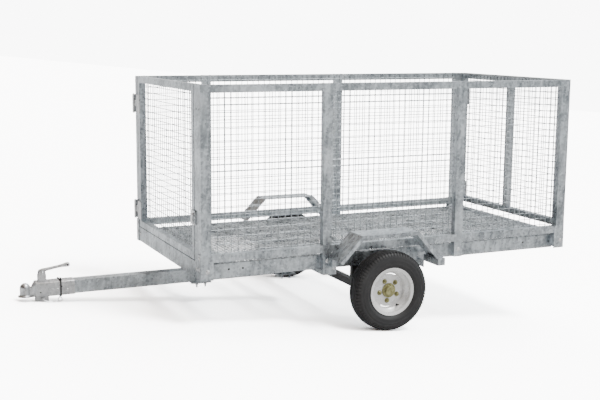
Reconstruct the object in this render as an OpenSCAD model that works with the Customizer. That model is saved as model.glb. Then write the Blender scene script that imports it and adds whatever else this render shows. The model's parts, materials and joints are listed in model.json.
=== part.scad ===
// Galvanised caged utility trailer, single axle, parked nose-down on its coupling.
// The pieces are drawn level, with x = 0 on the wheel centres, y = 0 on the centre
// line and z = 0 on the ground; parked() then tips the whole trailer about its wheels.
// -X is the drawbar end, -Y is the left side.

/* [Body] */
// Length over the corner posts
body_len = 2450; // [1900:10:3100]
// Width over the side posts
body_w = 1272; // [1000:2:1600]
// Distance from the front posts back to the wheel centres
axle_back = 1117; // [900:1:1300]
// Height of the cage top above level ground
cage_top = 1440; // [1000:1:1700]
// Height of the post feet above level ground
foot_z = 373; // [330:1:420]

/* [Cage] */
// Face width of the side posts
post_w = 55; // [40:1:70]
// Depth of the side posts and cage rails
cage_d = 40; // [30:1:50]
// Depth of the corner posts across the trailer
corner_d = 48; // [44:1:60]
// Height of the cage rails
cage_rail_h = 43; // [30:1:55]
// Wall of the cage sections
cage_t = 2.5; // [2:0.5:4]
// Height of the underside of the bottom cage rail
cage_rail_z = 468; // [458:1:485]
// Wire diameter of the mesh
wire_d = 4; // [2:0.2:6]
// Spacing of the mesh wires
mesh_pitch = 40.5; // [25:0.5:75]
// Distance from the body front to the two mid posts of the left side
left_posts = [764.5, 1657];
// Distance from the body front to the two mid posts of the right side
right_posts = [474, 1444];

/* [Chassis] */
// Height of the chassis side rails
rail_h = 80; // [60:1:100]
// Width of the chassis side rails
rail_w = 40; // [30:1:60]
// Wall of the chassis sections
rail_t = 3; // [2:0.5:5]
// Height of the underside of the chassis side rails
rail_z = 367; // [340:1:400]
// Height of the end members, from their underside to their lip
end_h = 92; // [80:1:110]
// Thickness of the floor sheet
floor_t = 3; // [2:0.5:5]

/* [Drawbar] */
// Side of the square drawbar
drawbar_w = 76; // [60:1:90]
// Wall of the drawbar
drawbar_t = 4; // [3:0.5:6]
// Height of the underside of the drawbar
drawbar_z = 220; // [200:1:250]
// Reach of the coupling ball centre ahead of the body
coupling_reach = 842; // [700:1:1200]
// Diameter of the towing ball
ball_d = 50; // [40:1:60]

/* [Running gear] */
// Outside radius of the tyre
tyre_r = 236; // [210:1:270]
// Width of the tyre
tyre_w = 126; // [110:1:145]
// Radius of the rim at the bead seat
bead_r = 128; // [120:1:140]
// Gap between the cage side and the tyre
tyre_gap = 32; // [8:1:40]
// Side of the square axle beam
beam_w = 42; // [35:1:60]
// Distance of the axle beam ahead of the wheel centres
arm_len = 126; // [90:1:160]
// Radius of the stub axles
stub_r = 17.5; // [12:0.5:22]
// Pitch circle of the wheel nuts
stud_pcd = 122; // [100:1:130]

/* [Mudguards] */
// Height of the mudguard top
guard_z = 583; // [540:1:640]
// Width of the mudguards
guard_w = 161; // [120:1:180]
// Half the length of the flat top of a mudguard
guard_half = 184; // [120:1:240]
// Distance of the mudguard middle ahead of the wheel centres
guard_ahead = 22; // [0:1:40]
// Thickness of the mudguard sheet
guard_t = 3; // [2:0.5:4]
// Depth of the turned-down lip along the outer edge
guard_lip = 20; // [12:1:30]

/* [Gates] */
// Width of the gate frame tubes
gate_tube = 40; // [30:1:50]
// Clearance around the gates
gate_gap = 5; // [5:0.5:10]
// Width of the fixed latch post beside the front gate
latch_post_w = 58; // [40:1:70]
// Height of one gate hinge
hinge_h = 116; // [80:1:150]
// Radius of the hinge knuckles
knuckle_r = 9; // [8:0.5:12]
// Radius of the hinge pins
pin_r = 5; // [4:0.5:6]

/* [Hidden] */
$fn = 48;

fit = 0.3;                    // between curved faces, and between wire and steel
bore_fit = 0.06;              // radial clearance of a pin in its bore
half_w = body_w / 2;
x_front = -axle_back;
x_rear = body_len - axle_back;
rail_out = half_w - cage_d;   // outer face of the chassis rails
rail_top = rail_z + rail_h;
end_t = 4;
gusset_t = 5;
end_d = post_w;               // the end members are as deep as the corner posts
end_z = foot_z - 2;
end_top = end_z + end_h;
x_rail_front = x_front + end_d;
x_rail_rear = x_rear - end_d;
corner_in = half_w - corner_d;

// The front gate stands between its posts, the rear gate behind them
gate_z = end_top + gate_gap;
front_gate_near = -(corner_in - latch_post_w - 5 - gate_gap);
gate_far = corner_in - gate_gap;
rear_gate_near = -(corner_in - 13);
rear_gate_far = half_w - 14;
rear_gate_z = end_top + 29;
rear_gate_back = gate_tube + 2 * wire_d + 8;  // from the rear face of the posts to the gate's outer face
strap_t = 5;
strap_off = 6;                // from a corner post to the hinge strap in front of it
pin_off = strap_off + strap_t / 2 + 5;
pin_y = half_w - knuckle_r;
hinge_z = [foot_z + 148, cage_top - 232];
latch_z = 708;
rear_latch = [-500, end_top - 11];             // its stud stands on the rear end member

// Running gear
tyre_in = half_w + tyre_gap;
wheel_y = tyre_in + tyre_w / 2;
rim_half = 50;
flange_t = 5;
flange_r = bead_r + 15.5;
rim_t = 3;
disc_in = 48;                 // disc face behind the outer rim edge
disc_y = wheel_y + rim_half + flange_t - disc_in;
disc_t = 5;
beam_z = tyre_r + 14;
stud_turn = 45;
arm_t = 22;
arm_in = rail_out - 12;       // inboard face of the swing arms
arm_out = arm_in + arm_t;

// Mudguard outline, front to rear, along the top of the sheet
guard_front = [-guard_ahead - guard_half - 138, foot_z + 66];
guard_rear = [guard_half - guard_ahead + 164, foot_z + 26];
guard_seat = foot_z + 35;     // top of the angles that carry the rear feet
angle_x = guard_half - guard_ahead + 134;
angle_w = 50;
angle_h = 40;
angle_t = 4;
guard_line = [guard_front, [-guard_ahead - guard_half, guard_z], [guard_half - guard_ahead, guard_z], guard_rear];

// Drawbar and coupling
drawbar_top = drawbar_z + drawbar_w;
bearer_x = x_front + 200;     // bearer that carries the drawbar
bearer_w = 40;
bearer_step = (body_len - 350) / 5;
guard_bar_x = x_front + left_posts[0];
guard_bar_z = rail_z - 29;
ball_x = x_front - coupling_reach;
ball_z = drawbar_z + 35;
head_r = ball_d / 2 + 5;
sleeve_t = 4;
sleeve_front = ball_x + 55;
sleeve_len = 221;
drawbar_front = sleeve_front + 10;
drawbar_rear = guard_bar_x + 40;
catch_z = drawbar_z - 34;
stud_x = 27;
stud_y = drawbar_w / 2 + 10;

// The trailer tips about its wheels until the coupling catch touches the floor
nose = [sleeve_front + 2, catch_z - tyre_r];
pitch = asin(tyre_r / norm(nose)) - atan(nose[1] / nose[0]);
function tipped_x(x, z) = x * cos(pitch) - (z - tyre_r) * sin(pitch);
tail_x = tipped_x(x_rear + rear_gate_back + strap_off + strap_t + 10, rear_latch[1] - 30);
park_x = -(tipped_x(ball_x - 41, drawbar_z - 2) + tail_x) / 2;

module parked() {
    translate([park_x, 0, tyre_r]) rotate([0, -pitch, 0]) translate([0, 0, -tyre_r]) children();
}

// Left-hand pieces are drawn on the -Y side; right() mirrors them
module right() {
    mirror([0, 1, 0]) children();
}

module galvanised() { color([0.70, 0.72, 0.73]) children(); }
module wire_finish() { color([0.62, 0.65, 0.67]) children(); }
module rim_paint() { color([0.86, 0.86, 0.84]) children(); }
module rubber() { color([0.09, 0.09, 0.10]) children(); }
module dark_steel() { color([0.22, 0.22, 0.21]) children(); }

module block(low, high) {
    translate(low) cube(high - low);
}

// Rectangular tubes along each axis, between two opposite corners, open at both ends
module tube_x(low, high, t) {
    difference() {
        block(low, high);
        block(low + [-1, t, t], high + [1, -t, -t]);
    }
}
module tube_y(low, high, t) {
    difference() {
        block(low, high);
        block(low + [t, -1, t], high + [-t, 1, -t]);
    }
}
module tube_z(low, high, t) {
    difference() {
        block(low, high);
        block(low + [t, t, -1], high + [-t, -t, 1]);
    }
}

// Cylinders along X and Y
module rod_x(r, x0, x1, y, z) {
    translate([x0, y, z]) rotate([0, 90, 0]) cylinder(r = r, h = x1 - x0);
}
module rod_y(r, y0, y1, x, z) {
    translate([x, y0, z]) rotate([-90, 0, 0]) cylinder(r = r, h = y1 - y0);
}
module rod_z(r, z0, z1, x, y) {
    translate([x, y, z0]) cylinder(r = r, h = z1 - z0);
}

// ---- Chassis ----
module chassis_rail() {
    galvanised() tube_x([x_rail_front, -rail_out, rail_z], [x_rail_rear, -rail_out + rail_w, rail_top],
                        rail_t);
}

// Channel across each end, its flanges turned into the body; it stops at the corner posts
module end_member(x_face, inward) {
    y = corner_in;
    x_in = x_face + inward * end_d;
    galvanised() difference() {
        block([min(x_face, x_in), -y, end_z], [max(x_face, x_in), y, end_top]);
        translate([inward * end_t, 0, 0])
            block([min(x_face, x_in), -y - 1, end_z + end_t], [max(x_face, x_in), y + 1, end_top - end_t]);
    }
}

module floor_bearers() {
    w = bearer_w / 2;
    inner = rail_out - rail_w;
    galvanised() {
        tube_y([bearer_x - w, -inner, rail_z], [bearer_x + w, inner, rail_top], rail_t);
        for (k = [1 : 4]) translate([bearer_x + k * bearer_step, 0, 0])
            tube_y([-w, -inner, rail_top - bearer_w], [w, inner, rail_top], rail_t);
    }
}

module floor_sheet() {
    wire_finish() block([x_rail_front + fit, -rail_out, rail_top],
                        [x_rail_rear - fit, rail_out, rail_top + floor_t]);
}

// ---- Drawbar and coupling ----
module drawbar() {
    w = drawbar_w / 2;
    galvanised() tube_x([drawbar_front, -w, drawbar_z], [drawbar_rear, w, drawbar_top], drawbar_t);
}

// Packing block between the drawbar and the member above it, with a wide top plate
module riser(x, top) {
    w = drawbar_w / 2;
    plate = 8;
    block([x - 50, -w, drawbar_top], [x + 50, w, top - plate]);
    block([x - 50, -w - 28, top - plate], [x + 50, w + 28, top]);
}

module drawbar_risers() {
    galvanised() {
        riser(bearer_x, rail_z);
        riser(guard_bar_x, guard_bar_z);
    }
}

// Plate under the drawbar, held up by four studs with nuts
module clamp(x, top) {
    plate = 8;
    block([x - 60, -drawbar_w / 2 - 28, drawbar_z - plate], [x + 60, drawbar_w / 2 + 28, drawbar_z]);
    for (sx = [-1, 1], sy = [-1, 1]) {
        rod_z(5, drawbar_z - 33, top - 8, x + sx * stud_x, sy * stud_y);
        translate([x + sx * stud_x, sy * stud_y, drawbar_z - plate - 9]) cylinder(r = 9.5, h = 9.5, $fn = 6);
    }
}

module drawbar_clamps() {
    galvanised() {
        clamp(bearer_x, rail_z);
        clamp(guard_bar_x, guard_bar_z);
    }
}

// Pressed coupling: a domed socket over the ball, a skirt round its mouth, and a sleeve
module coupling_body() {
    w = drawbar_w / 2;
    top = ball_z + 12;
    neck = 26;
    galvanised() {
        difference() {
            union() {
                rod_z(head_r, drawbar_z + 4, top, ball_x, 0);
                translate([ball_x, 0, top]) sphere(r = head_r);
                rod_z(41, drawbar_z - 2, drawbar_z + 5, ball_x, 0);
                block([ball_x, -neck, drawbar_z - 2], [sleeve_front + 1, neck, top + 14]);
                block([sleeve_front, -w - sleeve_t, drawbar_z - 5],
                      [sleeve_front + sleeve_len, w + sleeve_t, drawbar_top + sleeve_t]);
            }
            translate([ball_x, 0, ball_z]) sphere(r = ball_d / 2 + fit);
            rod_z(ball_d / 2 + fit, drawbar_z - 10, ball_z, ball_x, 0);
            block([drawbar_front, -w, drawbar_z], [sleeve_front + sleeve_len + 1, w, drawbar_top]);
        }
    }
}

module coupling_bracket() {
    z = drawbar_top + sleeve_t;
    x = sleeve_front;
    galvanised() {
        block([x + 17, -18, z], [x + 85, 18, z + 4]);
        for (s = [-1, 1]) {
            block([x + 18, s * 16 - 2, z], [x + 63, s * 16 + 2, z + 42]);
            rod_y(20, s * 16 - 2, s * 16 + 2, x + 41, z + 48);
        }
        rod_y(5, -22, 22, x + 41, z + 48);
    }
}

// Hand lever: a flat arm that rises to the rear, with an eye at its end
module coupling_handle() {
    z = drawbar_top + sleeve_t + 48;
    x = sleeve_front + 41;
    galvanised() difference() {
        union() {
            rod_y(15, -13, 13, x, z);
            translate([x, 0, z]) rotate([0, -9, 0]) {
                block([0, -13, 6], [146, 13, 15]);
                rod_y(13, -13, 13, 150, 14);
            }
        }
        rod_y(5 + bore_fit, -30, 30, x, z);
        translate([x, 0, z]) rotate([0, -9, 0]) rod_y(5, -30, 30, 150, 14);
    }
}

module coupling_catch() {
    z = drawbar_z - 5;
    galvanised() {
        block([sleeve_front + 2, -20, catch_z], [sleeve_front + 75, 20, z]);
        rod_y(7, -29, 29, sleeve_front + 42, catch_z + 12);
    }
}

// ---- Running gear ----
module axle_beam() {
    dark_steel() tube_y([-arm_len - beam_w / 2, -arm_in, beam_z - beam_w / 2],
                        [-arm_len + beam_w / 2, arm_in, beam_z + beam_w / 2], 4);
}

// Hangers that carry the beam under the chassis rails
module axle_brackets() {
    y = rail_out - rail_w;
    dark_steel() for (s = [-1, 1]) {
        low = s < 0 ? -y - 26 : y - 4;
        block([-arm_len - 34, low, beam_z + beam_w / 2], [-arm_len + 34, low + 30, rail_z]);
    }
}

// Trailing arm with the stub axle that carries the wheel
module swing_arm() {
    dark_steel() {
        rod_y(30, -arm_out, -arm_in, -arm_len, beam_z);
        rod_y(27, -arm_out, -arm_in, 0, tyre_r);
        translate([0, -arm_in - 1, 0]) rotate([90, 0, 0]) linear_extrude(arm_t - 2)
            polygon([[-arm_len, beam_z - 22], [0, tyre_r - 20], [0, tyre_r + 20], [-arm_len, beam_z + 22]]);
        rod_y(stub_r, -disc_y + 6, -arm_in - 8, 0, tyre_r);
    }
}

// A wheel is drawn standing on its axis, +Z outboard, then turned to the left side
module on_left_axle() {
    translate([0, 0, tyre_r]) rotate([90, 0, 0]) children();
}

module tyre() {
    h = tyre_w / 2;
    sh = 22;
    rubber() on_left_axle() translate([0, 0, wheel_y]) rotate_extrude($fn = 96) difference() {
        polygon(concat(
            [[bead_r + fit, -rim_half + fit], [flange_r + 3, -rim_half + fit], [flange_r + 20, -h + 5],
             [flange_r + 42, -h]],
            [for (a = [0 : 15 : 90]) [tyre_r - sh - 2 + sh * sin(a), -h + sh - sh * cos(a)]],
            [[tyre_r, 0]],
            [for (a = [90 : -15 : 0]) [tyre_r - sh - 2 + sh * sin(a), h - sh + sh * cos(a)]],
            [[flange_r + 42, h], [flange_r + 20, h - 5], [flange_r + 3, rim_half - fit],
             [bead_r + fit, rim_half - fit]]));
        // the air space, open to the rim
        polygon([[bead_r - 1, -30], [bead_r + 30, -42], [tyre_r - 36, -h + 16], [tyre_r - 14, -h + 28],
                 [tyre_r - 14, h - 28], [tyre_r - 36, h - 16], [bead_r + 30, 42], [bead_r - 1, 30]]);
    }
}

// Rim barrel with a rolled flange at each edge and a dished disc
module rim() {
    e = rim_half;
    disc_z = disc_y - wheel_y;
    rim_paint() on_left_axle() translate([0, 0, wheel_y]) difference() {
        union() {
            rotate_extrude($fn = 96) polygon([
                [bead_r - rim_t, -e - flange_t], [flange_r, -e - flange_t], [flange_r, -e], [bead_r, -e],
                [bead_r, -24], [bead_r - 20, -12], [bead_r - 20, 14], [bead_r, 26], [bead_r, e],
                [flange_r, e], [flange_r, e + flange_t], [bead_r - rim_t, e + flange_t],
                [bead_r - rim_t, 28], [bead_r - 23, 15], [bead_r - 23, -13], [bead_r - rim_t, -25]]);
            rotate_extrude($fn = 96) polygon([
                [46, disc_z - disc_t], [46, disc_z], [78, disc_z], [94, disc_z - 6], [bead_r - 21.5, disc_z - 6],
                [bead_r - 21.5, disc_z - 11], [92, disc_z - 11], [77, disc_z - disc_t]]);
        }
        for (i = [0 : 4]) rotate([0, 0, 72 * i + stud_turn])
            translate([stud_pcd / 2, 0, disc_z - 20]) cylinder(r = 7, h = 30);
    }
}

module hub() {
    h = disc_y - disc_t;
    galvanised() on_left_axle() difference() {
        union() {
            translate([0, 0, h - 9]) cylinder(r = 72, h = 9);
            translate([0, 0, arm_out + 10]) cylinder(r = 34, h = h - arm_out - 10);
            translate([0, 0, h - 1]) cylinder(r = 42, h = disc_t + 9);
            translate([0, 0, h]) cylinder(r = 30, h = 34);
        }
        translate([0, 0, arm_out - 1]) cylinder(r = stub_r + bore_fit, h = disc_y - arm_out - 4);
    }
}

module wheel_nuts() {
    galvanised() on_left_axle() for (i = [0 : 4]) rotate([0, 0, 72 * i + stud_turn]) translate([stud_pcd / 2, 0, 0]) {
        translate([0, 0, disc_y]) cylinder(r = 10.5, h = 11, $fn = 6);
        translate([0, 0, disc_y - disc_t]) cylinder(r = 6, h = disc_t + 18);
    }
}

// ---- Mudguards ----
// Point k of an outline moved inwards by d, mitred between its two edges
function unit(v) = v / norm(v);
function inward(a, b) = let(u = unit(b - a)) [u[1], -u[0]];
function mitred(line, k, d) =
    k == 0 ? line[0] + d * inward(line[0], line[1]) :
    k == len(line) - 1 ? line[k] + d * inward(line[k - 1], line[k]) :
    let(n = inward(line[k - 1], line[k]), m = inward(line[k], line[k + 1]))
        line[k] + d * (n + m) / (1 + n * m);
function offset_line(line, d) = [for (k = [0 : len(line) - 1]) mitred(line, k, d)];
function reversed(v) = [for (k = [len(v) - 1 : -1 : 0]) v[k]];

module guard_band(y0, y1, d0, d1) {
    translate([0, y1, 0]) rotate([90, 0, 0]) linear_extrude(y1 - y0)
        polygon(concat(offset_line(guard_line, d0), reversed(offset_line(guard_line, d1))));
}

module mudguard() {
    y_out = -half_w - guard_w;
    galvanised() {
        difference() {
            union() {
                guard_band(y_out, -half_w - fit, 0, guard_t);
                guard_band(y_out, y_out + guard_t, guard_t, guard_lip);
            }
            block([0, y_out - 1, 0], [guard_rear[0] + 20, -half_w, guard_seat]);
        }
        // rear foot, flat on its angle
        block([angle_x + 14, y_out, guard_seat], [angle_x + angle_w, -half_w - fit, guard_seat + guard_t]);
        // front foot, turned down against the gusset plate
        block([guard_front[0] - 6, -half_w - 60, foot_z + 20],
              [guard_front[0] + 8, -half_w - gusset_t, guard_front[1]]);
    }
}

// Angle across the trailer behind the wheels: upright in front, flange on top
module angle_y(y0, y1, z0, z1) {
    block([angle_x, y0, z0], [angle_x + angle_t, y1, z1]);
    block([angle_x, y0, z1 - angle_t], [angle_x + angle_w, y1, z1]);
}

// Two members under the chassis that carry the mudguards
module guard_cross_members() {
    galvanised() {
        tube_y([guard_bar_x - post_w / 2, -half_w, guard_bar_z], [guard_bar_x + post_w / 2, half_w, rail_z], 3);
        angle_y(-rail_out, rail_out, rail_z - 40, rail_z);
    }
}

module guard_brackets() {
    low = guard_seat - angle_h;
    galvanised() for (s = [0, 1]) mirror([0, s, 0]) {
        // gusset plate outside the frame, in front of the wheel
        block([guard_bar_x - post_w / 2, -half_w - gusset_t, guard_bar_z],
              [guard_bar_x + post_w / 2 + 30, -half_w, foot_z + 56]);
        // angle under the rear foot, closed at its outer end; its upright runs in to the cross member
        angle_y(-half_w - guard_w, -half_w, low, guard_seat);
        block([angle_x, -half_w - guard_w, low], [angle_x + angle_w, -half_w - guard_w + angle_t, guard_seat]);
        block([angle_x, -half_w - 1, rail_z - 40], [angle_x + angle_t, -rail_out, foot_z - fit]);
    }
}

// ---- Cage ----
module side_posts(mids) {
    galvanised() {
        for (m = mids) tube_z([x_front + m - post_w / 2, -half_w, foot_z],
                              [x_front + m + post_w / 2, -half_w + cage_d, cage_top], cage_t);
        for (x = [x_front, x_rear - post_w])
            tube_z([x, -half_w, foot_z], [x + post_w, -corner_in, cage_top], cage_t);
    }
}

module cage_rails(mids) {
    stops = concat([x_front + post_w / 2], [for (m = mids) x_front + m], [x_rear - post_w / 2]);
    galvanised() for (k = [0 : len(stops) - 2], z = [cage_rail_z, cage_top - cage_rail_h])
        tube_x([stops[k] + post_w / 2, -half_w, z], [stops[k + 1] - post_w / 2, -half_w + cage_d, z + cage_rail_h],
               cage_t);
}

// Wires in two layers: uprights against the frame, then wires along it
module mesh_panel(len, height) {
    n = floor((len - wire_d) / mesh_pitch);
    m = floor((height - wire_d) / mesh_pitch);
    for (i = [0 : n]) translate([len / 2 + (i - n / 2) * mesh_pitch, wire_d / 2, 0])
        cylinder(d = wire_d, h = height, $fn = 16);
    for (j = [0 : m]) translate([0, wire_d * 1.5 + 0.1, height / 2 + (j - m / 2) * mesh_pitch])
        rotate([0, 90, 0]) cylinder(d = wire_d, h = len, $fn = 16);
}

module side_mesh() {
    x0 = x_front + post_w + 2;
    z0 = rail_top + floor_t + 8;
    wire_finish() translate([x0, -half_w + cage_d + fit / 3, z0])
        mesh_panel(body_len - 2 * post_w - 4, cage_top - 12 - z0);
}

// Plates bolted round the foot of each corner
module corner_feet() {
    w = 70;
    t = 4;
    galvanised() for (sx = [0, 1], sy = [0, 1])
        translate([(x_front + x_rear) / 2, 0, 0]) mirror([sx, 0, 0]) mirror([0, sy, 0])
        translate([-body_len / 2, -half_w, foot_z - 4]) {
            block([-t, -t, 0], [w, 0, 144]);
            block([-t, -t, 0], [0, corner_d, 144]);
        }
}

module latch_post() {
    y = -corner_in;
    galvanised() tube_z([x_front, y, end_top], [x_front + 45, y + latch_post_w, cage_top], cage_t);
}

// ---- Gates ----
// Side frame of an end: x runs inwards from the outer face of the gate
module at_end(end) {
    if (end == "front") translate([x_front, 0, 0]) children();
    else translate([x_rear + rear_gate_back, 0, 0]) mirror([1, 0, 0]) children();
}

module gate_frame(near, far, z, mid) {
    t = gate_tube;
    tube_y([0, near, z], [t, far, z + t], cage_t);
    tube_y([0, near, cage_top - t], [t, far, cage_top], cage_t);
    for (y = concat([near, far - t], mid ? [(near + far - t) / 2] : []))
        tube_z([0, y, z + t], [t, y + t, cage_top - t], cage_t);
}

module gate_mesh(near, far, z) {
    translate([gate_tube + fit / 3, far - 6, z + 6]) rotate([0, 0, -90])
        mesh_panel(far - near - 12, cage_top - z - 12);
}

// Moving half of the hinges: a strap from the gate to the middle knuckle
module gate_straps(far, reach) {
    mid = hinge_h / 3;
    edge = min(far - 1, pin_y - knuckle_r - 5);   // clear of the fixed knuckles
    for (z = hinge_z) difference() {
        union() {
            block([-strap_off - strap_t, far - reach, z], [-strap_off, edge, z + hinge_h]);
            block([-strap_off, far - reach + 10, z + 5], [0, far - 8, z + hinge_h - 5]);
            block([-pin_off + 2, edge - 9, z + mid + 0.5], [-strap_off, pin_y, z + 2 * mid - 0.5]);
            rod_z(knuckle_r, z + mid + 0.5, z + 2 * mid - 0.5, -pin_off, pin_y);
        }
        rod_z(pin_r + bore_fit, z - 1, z + hinge_h + 1, -pin_off, pin_y);
    }
}

// Fixed half: pin with a knuckle above and below, on brackets that reach back to the corner post
module hinge_pins(back) {
    third = hinge_h / 3;
    for (z = hinge_z) {
        rod_z(pin_r, z - 4, z + hinge_h + 4, -pin_off, pin_y);
        for (k = [0, 2]) {
            rod_z(knuckle_r, z + k * third, z + (k + 1) * third, -pin_off, pin_y);
            block([-pin_off, pin_y, z + k * third], [back, pin_y + knuckle_r, z + (k + 1) * third]);
        }
    }
}

module gate_hinge_pins() {
    galvanised() {
        at_end("front") hinge_pins(0);
        at_end("rear") hinge_pins(rear_gate_back);
    }
}

// Slotted keepers on the gates that close over a stud with a drop lever
module front_keeper(near) {
    difference() {
        block([-strap_off - strap_t, near - 35, latch_z - 40], [-strap_off, near + 30, latch_z + 40]);
        block([-strap_off - strap_t - 1, near - 30, latch_z - 32], [-strap_off + 1, near - 12, latch_z + 32]);
    }
    block([-strap_off, near + 4, latch_z - 25], [0, near + 26, latch_z + 25]);
}
module rear_keeper(y, z) {
    difference() {
        block([-strap_off - strap_t, y - 30, z - 46], [-strap_off, y + 30, rear_gate_z + 14]);
        block([-strap_off - strap_t - 1, y - 10, z - 38], [-strap_off + 1, y + 10, z + 14]);
    }
    block([-strap_off, y - 25, rear_gate_z + 2], [0, y + 25, rear_gate_z + 14]);
}

module latch_stud(y, z, drop, back) {
    rod_x(5, -strap_off - strap_t - 12, back, y, z);
    block([-strap_off - strap_t - 10, y - 4, z - drop], [-strap_off - strap_t - 3, y + 4, z]);
}

module latch_studs() {
    galvanised() {
        at_end("front") latch_stud(front_gate_near - 21, latch_z + 20, 44, 0);
        at_end("rear") latch_stud(rear_latch[0], rear_latch[1], 30, rear_gate_back);
    }
}

parked() chassis_rail();  // chassis_rail_left
parked() right() chassis_rail();  // chassis_rail_right
parked() end_member(x_front, 1);  // front_end_member
parked() end_member(x_rear, -1);  // rear_end_member
parked() floor_bearers();
parked() floor_sheet();
parked() drawbar();
parked() drawbar_risers();
parked() drawbar_clamps();
parked() coupling_body();
parked() coupling_bracket();
parked() coupling_handle();
parked() coupling_catch();
parked() axle_beam();
parked() axle_brackets();
parked() swing_arm();  // swing_arm_left
parked() right() swing_arm();  // swing_arm_right
parked() guard_cross_members();
parked() guard_brackets();
parked() mudguard();  // mudguard_left
parked() right() mudguard();  // mudguard_right
parked() side_posts(left_posts);  // posts_left
parked() right() side_posts(right_posts);  // posts_right
parked() cage_rails(left_posts);  // cage_rails_left
parked() right() cage_rails(right_posts);  // cage_rails_right
parked() side_mesh();  // side_mesh_left
parked() right() side_mesh();  // side_mesh_right
parked() corner_feet();
parked() latch_post();
parked() gate_hinge_pins();
parked() latch_studs();
parked() galvanised() at_end("front") gate_frame(front_gate_near, gate_far, gate_z, false);  // front_gate_frame
parked() wire_finish() at_end("front") gate_mesh(front_gate_near, gate_far, gate_z);  // front_gate_mesh
parked() galvanised() at_end("front") gate_straps(gate_far, 70);  // front_gate_hinges
parked() galvanised() at_end("front") front_keeper(front_gate_near);  // front_gate_latch
parked() galvanised() at_end("rear") gate_frame(rear_gate_near, rear_gate_far, rear_gate_z, true);  // rear_gate_frame
parked() wire_finish() at_end("rear") gate_mesh(rear_gate_near, rear_gate_far, rear_gate_z);  // rear_gate_mesh
parked() galvanised() at_end("rear") gate_straps(rear_gate_far, gate_tube);  // rear_gate_hinges
parked() galvanised() at_end("rear") rear_keeper(rear_latch[0], rear_latch[1]);  // rear_gate_latch
parked() hub();  // hub_left
parked() rim();  // rim_left
parked() tyre();  // tyre_left
parked() wheel_nuts();  // wheel_nuts_left
parked() right() hub();  // hub_right
parked() right() rim();  // rim_right
parked() right() tyre();  // tyre_right
parked() right() wheel_nuts();  // wheel_nuts_right
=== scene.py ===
# Cage trailer: finishes and small parts around the fixed frame
import json
import math
from types import SimpleNamespace

import bmesh
import bpy
from mathutils import Matrix, Vector


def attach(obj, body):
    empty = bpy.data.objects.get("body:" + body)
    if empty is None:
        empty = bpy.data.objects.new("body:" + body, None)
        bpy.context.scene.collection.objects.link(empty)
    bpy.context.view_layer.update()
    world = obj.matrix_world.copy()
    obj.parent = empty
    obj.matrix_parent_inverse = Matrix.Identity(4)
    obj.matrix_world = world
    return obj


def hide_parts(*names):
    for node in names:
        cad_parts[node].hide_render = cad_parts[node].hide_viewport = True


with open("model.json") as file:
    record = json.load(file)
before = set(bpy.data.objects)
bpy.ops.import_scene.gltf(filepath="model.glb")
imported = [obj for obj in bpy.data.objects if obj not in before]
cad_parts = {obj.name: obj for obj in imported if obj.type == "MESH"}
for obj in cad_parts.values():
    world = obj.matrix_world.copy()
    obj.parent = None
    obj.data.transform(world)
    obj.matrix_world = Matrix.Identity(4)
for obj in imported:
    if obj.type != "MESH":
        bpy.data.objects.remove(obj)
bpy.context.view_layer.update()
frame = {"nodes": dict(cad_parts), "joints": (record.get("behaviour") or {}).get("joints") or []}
nodes = frame["nodes"]
joints = {joint["name"]: joint for joint in frame["joints"]}
mm = 0.001
sides = ("left", "right")

# The trailer is tipped forward about its wheels; small parts are made level and tipped with it
wheelCentre = Vector(joints["wheel_left_spin"]["pos_m"])
noseDown = math.asin(joints["front_gate_swing"]["axis"][0])
parked = (Matrix.Translation((wheelCentre.x, 0, wheelCentre.z)) @ Matrix.Rotation(-noseDown, 4, "Y")
          @ Matrix.Translation((0, 0, -wheelCentre.z)))
level = parked.inverted()


def levelBoxes(name):  # one box per solid of a node, in the level frame, in millimetres
    corner, group = {}, []

    def root(k):
        while group[k] != k:
            group[k] = group[group[k]]
            k = group[k]
        return k

    mesh = nodes[name].data
    index = []
    for vertex in mesh.vertices:
        key = tuple(round(c * 20000) for c in vertex.co)
        if key not in corner:
            corner[key] = len(group)
            group.append(len(group))
        index.append(corner[key])
    for face in mesh.polygons:
        first = root(index[face.vertices[0]])
        for v in face.vertices[1:]:
            group[root(index[v])] = first
    found = {}
    for vertex, k in zip(mesh.vertices, index):
        point = (level @ vertex.co) / mm
        low, high = found.setdefault(root(k), (point.copy(), point.copy()))
        for axis in range(3):
            low[axis] = min(low[axis], point[axis])
            high[axis] = max(high[axis], point[axis])
    return sorted(found.values(), key=lambda pair: tuple(round(c) for c in pair[0]))


def levelBox(name):
    boxes = levelBoxes(name)
    return (Vector(min(low[k] for low, high in boxes) for k in range(3)),
            Vector(max(high[k] for low, high in boxes) for k in range(3)))


print("stage: frame read")

# finishes


class Signal:  # one output of a node, so that shader maths reads as plain expressions
    def __init__(self, recipe, socket):
        self.recipe, self.socket = recipe, socket

    def __add__(self, other):
        return self.recipe.maths("ADD", self, other)

    def __sub__(self, other):
        return self.recipe.maths("SUBTRACT", self, other)

    def __rsub__(self, other):
        return self.recipe.maths("SUBTRACT", other, self)

    def __mul__(self, other):
        return self.recipe.maths("MULTIPLY", self, other)

    __radd__ = __add__
    __rmul__ = __mul__


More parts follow.
